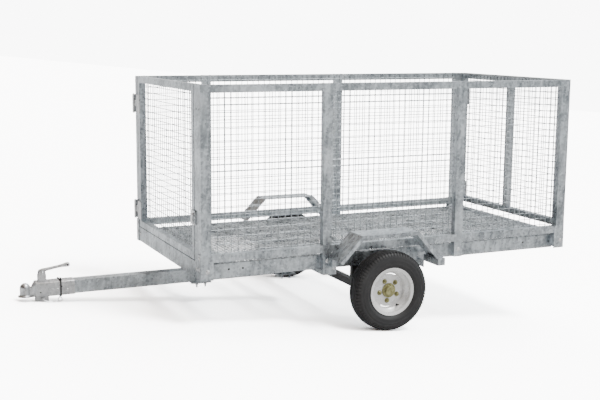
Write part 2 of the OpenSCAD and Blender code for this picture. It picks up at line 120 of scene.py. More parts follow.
class Recipe:  # a material, or the world, built from nodes
    def __init__(self, owner):
        self.owner = owner
        owner.use_nodes = True
        self.tree = owner.node_tree
        self.tree.nodes.clear()

    def add(self, kind, settings=None, sockets=None, output=0):
        node = self.tree.nodes.new(kind)
        for key, value in (settings or {}).items():
            setattr(node, key, value)
        for key, value in (sockets or {}).items():
            if isinstance(value, Signal):
                self.tree.links.new(value.socket, node.inputs[key])
            else:
                node.inputs[key].default_value = value
        return Signal(self, node.outputs[output] if len(node.outputs) else None)

    def maths(self, operation, *values):
        return self.add("ShaderNodeMath", {"operation": operation}, dict(enumerate(values)))

    def vector(self, operation, *values):
        return self.add("ShaderNodeVectorMath", {"operation": operation}, dict(enumerate(values)))

    def mix(self, factor, first, second):
        return self.add("ShaderNodeMix", {"data_type": "RGBA"}, {0: factor, 6: first, 7: second}, 2)

    def span(self, value, start, end, low=0.0, high=1.0):  # start..end becomes low..high, clamped
        return self.add("ShaderNodeMapRange", None, {0: value, 1: start, 2: end, 3: low, 4: high})

    def noise(self, place, scale, detail=3.0, output="Fac"):
        sockets = {"Vector": place, "Scale": scale, "Detail": detail}
        return self.add("ShaderNodeTexNoise", None, sockets, output)

    def where(self):
        return self.add("ShaderNodeTexCoord", None, None, "Object")

    def surface(self, sockets, height=None, relief=0.0002, strength=0.5):
        if height is not None:
            sockets["Normal"] = self.add("ShaderNodeBump", None, {
                "Strength": strength, "Distance": relief, "Height": height})
        shader = self.add("ShaderNodeBsdfPrincipled", None, sockets)
        self.add("ShaderNodeOutputMaterial", None, {"Surface": shader})
        return self.owner


crystalWander = 0.004  # metres by which the crystal edges wander


def galvanised(name, look):
    recipe = Recipe(bpy.data.materials.new(name))
    place = recipe.where()
    wander = recipe.noise(place, look["crystals"] * 0.7, 2.0, "Color")
    warped = recipe.vector("ADD", place, recipe.vector("MULTIPLY", wander, (crystalWander,) * 3))
    crystal = recipe.add("ShaderNodeSeparateColor", None, {
        0: recipe.add("ShaderNodeTexVoronoi", None, {"Vector": warped, "Scale": look["crystals"]}, "Color")})
    clouds = recipe.noise(place, look["clouds"], 5.0)
    runs = recipe.noise(recipe.vector("MULTIPLY", place, look["runs"]), 1.0, 4.0)
    grain = recipe.noise(place, 900.0, 2.0)
    light = recipe.span(clouds * 0.5 + (crystal - 0.5) * look["crystalShare"] + runs * 0.5, 0.36, 0.64)
    bloom = recipe.span(recipe.noise(place, look["clouds"] * 0.6, 6.0), 0.56, 0.70)  # chalky patches
    colour = recipe.mix(light, look["dark"], look["bright"])
    colour = recipe.mix(bloom * 0.35, colour, look["chalk"])
    smoothest, roughest = look["rough"] - 0.08, look["rough"] + 0.10
    rough = recipe.span(runs + crystal * 0.3, 0.4, 1.0, smoothest, roughest) + bloom * 0.12
    return recipe.surface({
        "Base Color": colour, "Metallic": look["metal"] - bloom * 0.25, "Roughness": rough,
    }, grain * 0.5 + crystal * 0.35 + clouds * 0.8, look["relief"])


def painted(name, look):
    recipe = Recipe(bpy.data.materials.new(name))
    place = recipe.where()
    dust = recipe.span(recipe.noise(place, look["patches"], 6.0), 0.45, 0.75)
    peel = recipe.noise(place, 420.0, 2.0)
    return recipe.surface({
        "Base Color": recipe.mix(dust * look["dustShare"], look["colour"], look["dust"]),
        "Roughness": recipe.span(dust, 0.0, 1.0, look["rough"], look["rough"] + 0.22),
        "Metallic": look["metal"],
    }, peel + dust * 0.5, look["relief"], 0.35)


def tyreRubber(name, look):
    recipe = Recipe(bpy.data.materials.new(name))
    place = recipe.where()
    scuff = recipe.span(recipe.noise(place, look["scuffs"], 6.0), 0.48, 0.72)
    pores = recipe.noise(place, 1400.0, 2.0)
    return recipe.surface({
        "Base Color": recipe.mix(scuff * 0.5, look["colour"], look["worn"]),
        "Roughness": recipe.span(scuff + pores * 0.2, 0.0, 1.2, look["rough"], look["rough"] + 0.25),
    }, pores + scuff * 0.4, 0.00015)


frameSteel = galvanised("galvanisedFrame", {
    "crystals": 80.0, "crystalShare": 0.16, "clouds": 7.0, "runs": (46.0, 46.0, 9.0), "metal": 0.90,
    "dark": (0.25, 0.275, 0.295, 1), "bright": (0.62, 0.665, 0.695, 1), "chalk": (0.66, 0.69, 0.71, 1),
    "rough": 0.34, "relief": 0.00035})
wireSteel = galvanised("galvanisedWire", {
    "crystals": 160.0, "crystalShare": 0.25, "clouds": 22.0, "runs": (40.0, 40.0, 40.0), "metal": 0.85,
    "dark": (0.24, 0.26, 0.27, 1), "bright": (0.60, 0.64, 0.67, 1), "chalk": (0.70, 0.72, 0.73, 1),
    "rough": 0.38, "relief": 0.0002})
floorSteel = galvanised("galvanisedFloor", {
    "crystals": 120.0, "crystalShare": 0.35, "clouds": 12.0, "runs": (50.0, 12.0, 12.0), "metal": 0.82,
    "dark": (0.15, 0.165, 0.175, 1), "bright": (0.58, 0.61, 0.63, 1), "chalk": (0.62, 0.64, 0.65, 1),
    "rough": 0.42, "relief": 0.0004})
platedSteel = galvanised("zincPlate", {
    "crystals": 260.0, "crystalShare": 0.10, "clouds": 26.0, "runs": (60.0, 60.0, 60.0), "metal": 0.95,
    "dark": (0.40, 0.41, 0.42, 1), "bright": (0.68, 0.69, 0.70, 1), "chalk": (0.66, 0.66, 0.66, 1),
    "rough": 0.33, "relief": 0.0002})
boltSteel = galvanised("boltZinc", {
    "crystals": 400.0, "crystalShare": 0.10, "clouds": 60.0, "runs": (90.0, 90.0, 90.0), "metal": 0.95,
    "dark": (0.50, 0.51, 0.52, 1), "bright": (0.80, 0.81, 0.82, 1), "chalk": (0.74, 0.74, 0.74, 1),
    "rough": 0.28, "relief": 0.0001})
oliveZinc = galvanised("oliveZinc", {
    "crystals": 300.0, "crystalShare": 0.12, "clouds": 45.0, "runs": (60.0, 60.0, 60.0), "metal": 0.80,
    "dark": (0.17, 0.16, 0.07, 1), "bright": (0.42, 0.40, 0.20, 1), "chalk": (0.50, 0.49, 0.34, 1),
    "rough": 0.36, "relief": 0.00015})
runningBlack = painted("runningGearBlack", {
    "colour": (0.018, 0.018, 0.019, 1), "dust": (0.10, 0.095, 0.09, 1), "dustShare": 0.35, "patches": 14.0,
    "rough": 0.42, "metal": 0.0, "relief": 0.0002})
rimEnamel = painted("rimEnamel", {
    "colour": (0.78, 0.78, 0.775, 1), "dust": (0.60, 0.59, 0.57, 1), "dustShare": 0.30, "patches": 18.0,
    "rough": 0.26, "metal": 0.25, "relief": 0.00012})
# black paint for the tie and the valve stem; the same material is also the painted shade that fills holes
blackPaintAndHoleShade = painted("blackPaintAndHoleShade", {
    "colour": (0.012, 0.012, 0.013, 1), "dust": (0.05, 0.05, 0.05, 1), "dustShare": 0.3, "patches": 60.0,
    "rough": 0.45, "metal": 0.0, "relief": 0.0001})
rubber = tyreRubber("tyreRubber", {
    "colour": (0.011, 0.011, 0.012, 1), "worn": (0.040, 0.039, 0.038, 1), "scuffs": 12.0, "rough": 0.50})

finishes = {
    "side_mesh": wireSteel, "gate_mesh": wireSteel, "coupling": platedSteel, "axle": runningBlack,
    "swing_arm": runningBlack, "latch_post": frameSteel, "latch": boltSteel, "hinge": platedSteel}
for name, node in nodes.items():
    finish = next((finishes[key] for key in finishes if key in name), frameSteel)
    node.data.materials.clear()
    node.data.materials.append(finish)
print("stage: finishes made")

# mesh tools; everything is drawn in level millimetres


def aim(at, towards, turn=0.0):  # local Z points along towards
    return (Matrix.Translation(at) @ Vector(towards).to_track_quat("Z", "Y").to_matrix().to_4x4()
            @ Matrix.Rotation(turn, 4, "Z"))


def polar(radius, angle, along=0.0):
    return Vector((radius * math.cos(angle), radius * math.sin(angle), along))


def outermost(low, high):  # how far out the outer side face of a box lies
    return max(abs(low.y), abs(high.y))


def addLoft(bm, rings, loop=False):
    made = [[bm.verts.new(point) for point in ring] for ring in rings]
    count = len(made[0])
    for a, b in zip(made, made[1:] + made[:1] if loop else made[1:]):
        for k in range(count):
            bm.faces.new((a[k], a[(k + 1) % count], b[(k + 1) % count], b[k]))
    if not loop:
        bm.faces.new(made[0][::-1])
        bm.faces.new(made[-1])


def addLathe(bm, outline, place, steps=32, loop=False):  # outline holds (radius, along) pairs
    rings = [[place @ polar(r, 2 * math.pi * k / steps, z) for k in range(steps)] for r, z in outline]
    addLoft(bm, rings, loop)


def addBlock(bm, low, high, bevel=0.0):
    low, high = Vector(low), Vector(high)
    size, centre = high - low, (low + high) / 2
    matrix = Matrix.Translation(centre) @ Matrix.Diagonal((*size, 1))
    made = bmesh.ops.create_cube(bm, size=1, matrix=matrix)["verts"]
    if bevel:
        edges = dict.fromkeys(edge for v in made for edge in v.link_edges)  # each once, always in this order
        bmesh.ops.bevel(bm, geom=list(edges), offset=bevel, segments=2, profile=0.5, affect="EDGES")


def addWire(bm, points, radius, steps=8, loop=False, swell=None):  # round bar along a line of points
    points = [Vector(p) for p in points]
    rings = []
    normal = None
    for k, point in enumerate(points):
        before = points[k - 1] if k or loop else point
        after = points[(k + 1) % len(points)] if k < len(points) - 1 or loop else point
        along = (after - before).normalized()
        if normal is None:
            normal = along.orthogonal().normalized()
        normal = (normal - along * normal.dot(along)).normalized()
        side = along.cross(normal)
        r = radius * (swell[k] if swell else 1)
        rings.append([point + (normal * math.cos(a) + side * math.sin(a)) * r
                      for a in (2 * math.pi * j / steps for j in range(steps))])
    addLoft(bm, rings, loop)


def addDomeBolt(bm, at, towards, radius=11.0, height=4.4):
    outline = [(radius + 2, 0), (radius + 2, 1.0), (radius, 1.2)]
    outline += [(radius * math.cos(a), 1.4 + (height - 1.4) * math.sin(a))
                for a in (math.radians(d) for d in (10, 25, 40, 55, 70, 82))]
    addLathe(bm, outline, aim(at, towards), 24)


def addNut(bm, at, towards, across=17.0, height=9.0, stud=5.0, proud=5.0, turn=0.3, washer=3.0):
    place = aim(at, towards, turn)
    half = across / math.sqrt(3)
    addLathe(bm, [(half + washer, 0), (half + washer, 1.6), (half, 1.7)], place, 24)
    bottom = 1.6
    levels = ((0.96, bottom), (1, bottom + 1), (1, height - 1.2), (0.88, height))
    addLoft(bm, [[place @ polar(half * s, math.pi * k / 3, z) for k in range(6)] for s, z in levels])
    if proud:
        addLathe(bm, [(stud, height - 1), (stud, height + proud - 1), (stud - 1, height + proud)], place, 16)


def addWeld(bm, start, end, radius=1.6, step=3.2):  # a rippled bead
    start, end = Vector(start), Vector(end)
    count = max(4, int((end - start).length / step))
    points, swell = [], []
    for k in range(count + 1):
        points.append(start.lerp(end, k / count))
        swell.append(0.35 if k in (0, count) else 0.85 + 0.15 * math.sin(k * 2.3) + 0.1 * math.sin(k * 0.9))
    addWire(bm, points, radius, 6, swell=swell)


def makePiece(name, bm, body, finish, stands=(), sharp=35.0):
    bmesh.ops.remove_doubles(bm, verts=bm.verts, dist=0.001)
    bmesh.ops.recalc_face_normals(bm, faces=bm.faces)
    bmesh.ops.transform(bm, matrix=parked @ Matrix.Scale(mm, 4), verts=bm.verts)
    mesh = bpy.data.meshes.new(name)
    bm.to_mesh(mesh)
    bm.free()
    for face in mesh.polygons:
        face.use_smooth = True
    mesh.set_sharp_from_angle(angle=math.radians(sharp))
    mesh.materials.append(finish)
    piece = bpy.data.objects.new(name, mesh)
    bpy.context.scene.collection.objects.link(piece)
    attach(piece, body)
    if stands:
        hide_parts(*stands)
    return piece


# camera, studio

viewpoint = {
    "place": (-2.92639, -5.87825, 1.70875), "yaw": 24.59, "pitch": -9.09, "roll": 0.45, "lens": 62.03,
    "farthest": 600.0}


def makeCamera(look):
    yaw, pitch, roll = (math.radians(look[key]) for key in ("yaw", "pitch", "roll"))
    ahead = Vector((math.cos(pitch) * math.sin(yaw), math.cos(pitch) * math.cos(yaw), math.sin(pitch)))
    right = Vector((math.cos(yaw), -math.sin(yaw), 0))
    up = right.cross(ahead)
    rolled = (right * math.cos(roll) + up * math.sin(roll), up * math.cos(roll) - right * math.sin(roll))
    turn = Matrix((rolled[0], rolled[1], -ahead)).transposed().to_4x4()
    camera = bpy.data.objects.new("camera", bpy.data.cameras.new("camera"))
    camera.data.lens = look["lens"]
    camera.data.clip_end = look["farthest"]
    camera.matrix_world = parked @ Matrix.Translation(look["place"]) @ turn
    bpy.context.scene.collection.objects.link(camera)
    bpy.context.scene.camera = camera


makeCamera(viewpoint)

studio = {
    "floorSize": 400.0, "floorColour": (0.70, 0.70, 0.70, 1), "floorSeen": (5.0, 5.0, 5.0, 1),
    "skyLight": 0.85, "horizon": 0.40, "zenith": 4.6, "darkEnd": -0.45, "lightEnd": 0.45, "darkShare": 0.06,
    "warm": (1.0, 0.80, 0.66, 1), "cool": (0.92, 0.97, 1.0, 1), "keyLight": 2.2, "keyAngle": 18.0,
    "keyFrom": (0.45, -0.55, 1.55), "backdrop": 9.0}


def makeStudio(look):
    world = bpy.data.worlds.new("studio")
    bpy.context.scene.world = world
    recipe = Recipe(world)
    way = recipe.add("ShaderNodeTexCoord", None, None, "Generated")
    split = recipe.add("ShaderNodeSeparateXYZ", None, {0: way})
    upDown = Signal(recipe, split.socket.node.outputs[2])
    front = recipe.span(split, look["darkEnd"], look["lightEnd"])  # dark and warm at the drawbar end
    glow = front * (1 - look["darkShare"]) + look["darkShare"]
    glow = glow * recipe.span(upDown, -0.1, 0.9, look["horizon"], look["zenith"])
    tint = recipe.mix(front, look["warm"], look["cool"])
    lightUp = recipe.add("ShaderNodeBackground", None, {
        "Color": tint, "Strength": glow * look["skyLight"]})
    backdrop = recipe.add("ShaderNodeBackground", None, {
        "Color": (1, 1, 1, 1), "Strength": look["backdrop"]})
    seen = recipe.add("ShaderNodeLightPath", None, None, "Is Camera Ray")
    both = recipe.add("ShaderNodeMixShader", None, {0: seen, 1: lightUp, 2: backdrop})
    recipe.add("ShaderNodeOutputWorld", None, {"Surface": both})
    key = bpy.data.objects.new("keyLight", bpy.data.lights.new("keyLight", "SUN"))
    key.data.energy = look["keyLight"]
    key.data.angle = math.radians(look["keyAngle"])
    key.rotation_mode = "QUATERNION"
    key.rotation_quaternion = Vector(look["keyFrom"]).to_track_quat("Z", "Y")
    bpy.context.scene.collection.objects.link(key)
    mesh = bpy.data.meshes.new("studioFloor")
    half = look["floorSize"] / 2
    corners = [(-half, -half, 0), (half, -half, 0), (half, half, 0), (-half, half, 0)]
    mesh.from_pydata(corners, [], [(0, 1, 2, 3)])
    floor = bpy.data.objects.new("studioFloor", mesh)
    paper = Recipe(bpy.data.materials.new("studioPaper"))
    tooth = paper.noise(paper.where(), 40.0)
    plain = paper.add("ShaderNodeBsdfDiffuse", None, {
        "Color": look["floorColour"], "Roughness": 0.9 - tooth * 0.1})
    bright = paper.add("ShaderNodeBsdfDiffuse", None, {"Color": look["floorSeen"]})
    seen = paper.add("ShaderNodeLightPath", None, None, "Is Camera Ray")
    paper.add("ShaderNodeOutputMaterial", None, {
        "Surface": paper.add("ShaderNodeMixShader", None, {0: seen, 1: plain, 2: bright})})
    mesh.materials.append(paper.owner)
    bpy.context.scene.collection.objects.link(floor)


makeStudio(studio)
print("stage: camera and studio made")

# floor of expanded sheet

floorLook = {"longWay": 50.0, "shortWay": 22.0, "strand": 3.4, "thick": 2.2, "twist": 0.7}


def makeFloor(look):
    low, high = levelBox("floor_sheet")
    stepX, stepY = look["longWay"] / 2, look["shortWay"] / 2
    columns, rows = int((high.x - low.x) / stepX), int((high.y - low.y) / stepY)
    stepX, stepY = (high.x - low.x) / columns, (high.y - low.y) / rows
    top, w, twist = high.z - 0.05, look["strand"] / 2, look["twist"]
    points, faces = [], []
    for i in range(columns):
        for j in range(rows + 1):
            if (i + j) % 2:
                continue
            for rise in (-1, 1):
                if not 0 <= j + rise <= rows:
                    continue
                a = Vector((low.x + i * stepX, low.y + j * stepY, 0))
                b = Vector((a.x + stepX, a.y + rise * stepY, 0))
                along = (b - a).normalized()
                side = Vector((-along.y, along.x, 0)) * w
                tilt = twist * rise
                first = len(points)
                for end in (a, b):
                    for s, z in ((-1, tilt), (1, -tilt)):
                        p = end + side * s
                        x = min(max(p.x, low.x), high.x)
                        y = min(max(p.y, low.y), high.y)
                        face = top - twist + z * 0.9
                        points += [(x, y, face), (x, y, face - look["thick"] + 0.3)]
                faces += [[first + k for k in quad] for quad in (
                    (0, 2, 6, 4), (1, 5, 7, 3), (0, 4, 5, 1), (2, 3, 7, 6), (0, 1, 3, 2), (4, 6, 7, 5))]
    bm = bmesh.new()
    mesh = bpy.data.meshes.new("strands")
    mesh.from_pydata(points, [], faces)
    bm.from_mesh(mesh)
    bpy.data.meshes.remove(mesh)
    return makePiece("expandedFloor", bm, "chassis", floorSteel, ["floor_sheet"])


makeFloor(floorLook)
print("stage: floor made")

# tyres

outwards = {"left": (0, -1, 0), "right": (0, 1, 0)}
tyreLook = {"lugs": 72, "lugDepth": 3.6, "grooves": 5.2, "drawnRadius": 234.0, "drawnBead": 127.0}


def wheelPlace(side):  # centre of a wheel, and a matrix whose Z points outwards from it
    centre = (level @ Vector(joints["wheel_" + side + "_spin"]["pos_m"])) / mm
    return centre, aim(centre, outwards[side])


def makeTyre(side, look):
    centre, place = wheelPlace(side)
    deep = look["grooves"]
    # across the tread: distance from the middle, radius, share of the lug depth
    half = [(0, 233.8, 0), (7.5, 233.8, 0), (9, 233.8 - deep, 0), (12.5, 233.6 - deep, 0), (14, 233.5, 0),
            (24, 233.1, 0), (25.5, 232.9 - deep, 0), (29, 232.4 - deep, 0), (30.5, 232.2, 0), (38, 230.8, 0),
            (39, 230.5, 1), (46, 228.0, 1), (52, 223.8, 1), (56.5, 218.2, 1), (58.6, 213.2, 0.9),
            (59.6, 209.6, 0), (60.9, 204.0, 0), (61.8, 199.0, 0), (61.0, 197.4, 0), (61.6, 192.0, 0),
            (62.8, 188.0, 0), (62.9, 184.0, 0), (62.0, 182.6, 0), (62.2, 176.0, 0), (61.0, 168.0, 0),
            (61.8, 165.8, 0), (60.8, 163.4, 0), (58.6, 157.5, 0), (55.0, 151.0, 0), (52.6, 147.6, 0),
            (50.2, 144.6, 0), (49.6, 143.0, 0), (49.6, 128.0, 0)]
    grow = (centre.z - look["drawnRadius"]) / (look["drawnRadius"] - look["drawnBead"])
    half = [(a, r + grow * (r - look["drawnBead"]), f) for a, r, f in half]
    across = [(-a, r, f) for a, r, f in reversed(half[1:])] + half
    count = look["lugs"] * 6
    bm = bmesh.new()
    rings = []
    for a, r, f in across:
        ring = []
        for k in range(count):
            phase = (k + (3 if a < 0 else 0)) % 6
            gap = f * look["lugDepth"] if phase in (4, 5) else 0
            lean = 2 * math.pi * (k + 0.6 * f * (abs(a) - 39) / 20) / count
            ring.append(place @ polar(r - gap, lean, a - math.copysign(gap * 0.5, a)))
        rings.append(ring)
    addLoft(bm, rings, loop=True)
    makePiece(side + "TyreTread", bm, "wheel_" + side, rubber, ["tyre_" + side], 28.0)


# rims, hubs, nuts, valves

rimLook = {
    "slots": 4, "slotShare": 0.42, "slotTurn": 0.35, "slotRing": 7, "steps": 180, "discThick": 4.0,
    "discBack": 29.0}
nutLook = {"count": 5, "turn": 45.0, "circle": 61.0}
valveLook = {"turn": -1.05}


def hubEnds(side, centre):  # back, outer face of the disc and tip, outwards from the wheel's centre
    low, high = levelBox("hub_" + side)
    back, tip = sorted(abs(y) - abs(centre.y) for y in (low.y, high.y))
    return back, tip - rimLook["discBack"], tip


def addDisc(bm, disc, place, look):  # pressed disc, cut by slots near its edge
    steps, slotRing = look["steps"], look["slotRing"]
    profile = [(43.5, 0), (60, 0), (75, 0), (79, -0.7), (85, -3.2), (91, -5.2), (95.0, -5.8), (96.5, -5.9),
               (102.4, -6.0), (104.5, -6.0)]
    top, bottom = [], []
    for r, z in profile:
        for store, drop in ((top, 0), (bottom, look["discThick"])):
            store.append([bm.verts.new(place @ polar(r, 2 * math.pi * k / steps, disc + z - drop))
                          for k in range(steps)])

    def isSlot(k):
        return (k / steps * look["slots"] + look["slotTurn"]) % 1 < look["slotShare"]

    last = len(profile) - 1
    for ring in range(last):
        for k in range(steps):
            n = (k + 1) % steps
            if ring == slotRing and isSlot(k):
                bm.faces.new((top[ring][k], top[ring][n], bottom[ring][n], bottom[ring][k]))
                bm.faces.new((top[ring + 1][n], top[ring + 1][k], bottom[ring + 1][k], bottom[ring + 1][n]))
                for edge, other in ((k, (k - 1) % steps), (n, n)):
                    if not isSlot(other):
                        bm.faces.new((top[ring][edge], bottom[ring][edge],
                                      bottom[ring + 1][edge], top[ring + 1][edge]))
                continue
            bm.faces.new((top[ring][k], top[ring + 1][k], top[ring + 1][n], top[ring][n]))
            bm.faces.new((bottom[ring][n], bottom[ring + 1][n], bottom[ring + 1][k], bottom[ring][k]))
    for k in range(steps):
        n = (k + 1) % steps
        bm.faces.new((top[0][n], bottom[0][n], bottom[0][k], top[0][k]))
        bm.faces.new((top[last][k], bottom[last][k], bottom[last][n], top[last][n]))


def makeRim(side, look):
    centre, place = wheelPlace(side)
    disc = hubEnds(side, centre)[1]
    bm = bmesh.new()
    addLathe(bm, [
        (124, -54), (126, -55), (141, -55), (142.5, -53.5), (142.5, -51.5), (140, -50), (129, -49.4),
        (127, -47), (127, -24), (122, -20), (109, -13), (107, -10), (107, 12), (109, 15), (122, 22),
        (127, 26), (127, 47), (129, 49.4), (140, 50), (142, 51), (142.6, 52.6), (142, 54.3), (140, 55),
        (137.5, 54.4), (134, 52.6), (129, 51.6), (125.5, 50.4), (124, 47.5), (124, 28), (120, 25),
        (106, 17), (104, 14), (104, -11), (106, -15), (120, -22), (124, -26)], place, 144, loop=True)
    addDisc(bm, disc, place, look)
    makePiece(side + "RimPressed", bm, "wheel_" + side, rimEnamel, ["rim_" + side], 40.0)


def makeHub(side):
    centre, place = wheelPlace(side)
    back, disc, tip = hubEnds(side, centre)
    bm = bmesh.new()
    addLathe(bm, [
        (18, back), (33, back), (34, back + 1), (34, disc - 16), (38, disc - 14), (71, disc - 14),
        (72, disc - 13), (72, disc - 6), (71, disc - 5.2), (43, disc - 5), (42.4, disc + 6), (41, disc + 8),
        (32, disc + 8.4), (30.4, disc + 10), (30, disc + 12), (30, tip - 4), (29, tip - 1.4),
        (27, tip - 0.2), (24, tip - 0.6), (0.01, tip - 1.2)], place, 64)
    makePiece(side + "HubCap", bm, "wheel_" + side, oliveZinc, ["hub_" + side], 30.0)


def makeNuts(side, look):
    centre, place = wheelPlace(side)
    disc = hubEnds(side, centre)[1]
    bm = bmesh.new()
    for k in range(look["count"]):
        turn = math.radians(look["turn"] + 360 / look["count"] * k)
        if side == "right":
            turn = math.pi - turn
        at = place @ polar(look["circle"], turn, disc)
        addLathe(bm, [(15.5, -0.5), (14.2, 1.6), (12.6, 2.0), (11.6, 0.6)], aim(at, outwards[side]), 28)
        addNut(bm, at, outwards[side], 19.0, 12.0, 6.0, 5.0, turn, 0.8)
    makePiece(side + "StudNuts", bm, "wheel_" + side, oliveZinc,
              ["wheel_nuts_" + side], 30.0)


def makeValve(side, look):
    place = wheelPlace(side)[1]
    foot = place @ polar(104, look["turn"], 16)
    tip = place @ polar(96, look["turn"], 46)
    stem = [(7, 0), (7, 3), (5.4, 6), (4.6, 20), (3.6, 22), (3.6, 30), (2.8, 31)]
    bm = bmesh.new()
    addLathe(bm, stem, aim(foot, tip - foot), 20)
    makePiece(side + "ValveStem", bm, "wheel_" + side, blackPaintAndHoleShade)


for side in sides:
    makeTyre(side, tyreLook)
    makeRim(side, rimLook)
    makeHub(side)
    makeNuts(side, nutLook)
    makeValve(side, valveLook)
print("stage: wheels made")

# coupling

couplingLook = {
    "wall": 4.0, "cornerRound": 9.0, "skirt": 41.0, "dome": 30.0, "socket": 25.4, "lip": 3.0, "neck": 55.0}
leverLook = {"tilt": 9.0, "pivotBack": 25.0, "pivotDown": 20.0, "eyeAlong": 150.0, "eyeLift": 14.0}
tieLook = {"back": 140.0, "clear": 2.0, "halfWide": 4.5, "thick": 2.4}
chainLook = {"ring": 12.0, "ringWire": 2.2, "link": 3.6, "linkWire": 1.7}


def arc(radius, middle, degrees):  # (radius, along) pairs on a circle round a point of the axis
    turns = [math.radians(a) for a in degrees]
    return [(radius * math.cos(a), middle + radius * math.sin(a)) for a in turns]


def roundedRing(x, halfWidth, low, high, radius, steps=5):  # section across the drawbar
    radius = min(radius, halfWidth - 0.5, (high - low) / 2 - 0.5)
    ring = []
    for cy, cz, start in ((1, 1, 0), (-1, 1, 90), (-1, -1, 180), (1, -1, 270)):
        y = cy * (halfWidth - radius)
        z = (high if cz > 0 else low) - cz * radius
        for k in range(steps + 1):
            a = math.radians(start + 90 * k / steps)
            ring.append(Vector((x, y + radius * math.cos(a), z + radius * math.sin(a))))
    return ring


def couplingPlaces(look):  # low corner, top, ball, skirt's underside, ends of the square sleeve
    low, high = levelBox("coupling_body")
    ballX = low.x + look["skirt"]
    return SimpleNamespace(low=low, top=high.z, ballX=ballX, base=low.z + look["lip"],
                           start=ballX + look["neck"], end=high.x, half=high.y)


def makeShell(at, look):
    low, top, ballX, base, start, end, half = at.low, at.top, at.ballX, at.base, at.start, at.end, at.half
    wall, waist, socket, crown = look["wall"], look["dome"], look["socket"], base + 49.0
    bm = bmesh.new()
    # domed head over the ball, with the rolled skirt round its mouth
    outer = [(look["skirt"], base), (look["skirt"], base + 2.5), (39.5, base + 5), (35, base + 6.5),
             (31.5, base + 9.5), (waist, base + 14)]
    outer += arc(waist, crown, range(0, 86, 12)) + [(0.02, crown + waist), (0.02, crown + 13.4)]
    inner = arc(socket, crown - 12, range(84, -1, -12)) + [(socket, base + 3), (28, base)]
    addLathe(bm, outer + inner, Matrix.Translation((ballX, 0, 0)), 48, loop=True)
    # neck and square sleeve: place along, half width, bottom, top
    rows = [(ballX + 17, 19, base + 5, base + 40), (ballX + 27, 20, base + 3, base + 45),
            (ballX + 36, 22.5, base + 1, base + 53), (ballX + 45, 29, base - 1, base + 66),
            (ballX + 52, 36, base - 2.5, base + 76), (start, 40, low.z + 0.4, top - 1),
            (start + 6, half, low.z, top), (end - 1, half, low.z, top),
            (end, half - 0.8, low.z + 0.8, top - 0.8)]
    rings = [roundedRing(x, w, z0, z1, look["cornerRound"]) for x, w, z0, z1 in rows]
    rings += [roundedRing(x, half - wall, low.z + wall + 1, top - wall, 3.0) for x in (end, start + 14)]
    addLoft(bm, rings)
    # flat of the skirt carried back along the neck
    addBlock(bm, (ballX, -33, base - 0.5), (start + 4, 33, base + 4), 1.4)
    makePiece("couplingShell", bm, "chassis", platedSteel, ["coupling_body"], 32.0)


def makeCouplingBolts(at):
    bm = bmesh.new()
    for back, up in ((93, 36), (121, 33), (178, 28)):
        x, z = at.start + back, at.base + up
        addDomeBolt(bm, (x, -at.half, z), (0, -1, 0), 8.0, 4.5)
        addNut(bm, (x, at.half, z), (0, 1, 0), 15.0, 8.0, 4.5, 5.0)
    makePiece("couplingBolts", bm, "chassis", boltSteel)
    # black discs of painted shade stand in for the open holes in the sleeve's side
    bm = bmesh.new()
    for back, up in ((25, 25), (146, 50)):
        place = aim((at.start + back, -at.half, at.base + up), (0, -1, 0))
        addLathe(bm, [(4.4, 0.15), (4.4, 0.35)], place, 20)
    makePiece("couplingHoleShade", bm, "chassis", blackPaintAndHoleShade)


def makeLever(look):  # cast hand lever with a rounded elbow and an eye at its end
    low, high = levelBox("coupling_bracket")
    pivot = Vector((low.x + look["pivotBack"], 0, high.z - look["pivotDown"]))
    tilt = math.radians(look["tilt"])
    along = Vector((math.cos(tilt), 0, math.sin(tilt)))
    across = Vector((-math.sin(tilt), 0, math.cos(tilt)))
    # distance along, lift, half height, half width
    stations = [
        (-13, -4, 5, 9), (-14, 2, 10, 11), (-10, 8, 12, 12.5), (0, 11, 12.5, 13), (14, 13.5, 10.5, 13),
        (30, 14.5, 8.6, 12.5), (70, 15, 7.6, 11.5), (105, 15, 7.8, 11), (124, 14.6, 9.0, 11.5),
        (138, 14.2, 11.4, 12.5), (150, 14.0, 12.8, 13), (159, 14.0, 12.2, 12.5), (164, 14.0, 8.0, 9.5)]
    rings = []
    for s, lift, halfHigh, halfWide in stations:
        middle = pivot + along * s + across * lift
        rings.append([middle + across * halfHigh * math.copysign(abs(math.sin(a)) ** 0.6, math.sin(a))
                      + Vector((0, 1, 0)) * halfWide * math.copysign(abs(math.cos(a)) ** 0.6, math.cos(a))
                      for a in (2 * math.pi * k / 20 for k in range(20))])
    bm = bmesh.new()
    addLoft(bm, rings)
    addLathe(bm, [(13, -12), (14.5, -10.5), (14.5, 10.5), (13, 12)], aim(pivot, (0, 1, 0)), 32)
    eye = pivot + along * look["eyeAlong"] + across * look["eyeLift"]
    addLathe(bm, [(5, -13.4), (8.5, -13.4), (9.5, -12.6), (9.5, 12.6), (8.5, 13.4), (5, 13.4)],
             aim(eye, (0, 1, 0)), 28, loop=True)
    makePiece("couplingLever", bm, "chassis", platedSteel, ["coupling_handle"], 40.0)
    # a black rod of painted shade fills the eye's hole
    bm = bmesh.new()
    addLathe(bm, [(4.9, -13.5), (4.9, 13.5)], aim(eye, (0, 1, 0)), 20)
    makePiece("leverEyeHoleShade", bm, "chassis", blackPaintAndHoleShade)
    bm = bmesh.new()
    for s in (-1, 1):
        place = aim(pivot + Vector((0, s * 18, 0)), (0, s, 0))
        addLathe(bm, [(8.5, 0), (8.5, 1.5), (7, 3), (4, 3.6)], place, 24)
    makePiece("leverPivotRivets", bm, "chassis", boltSteel)


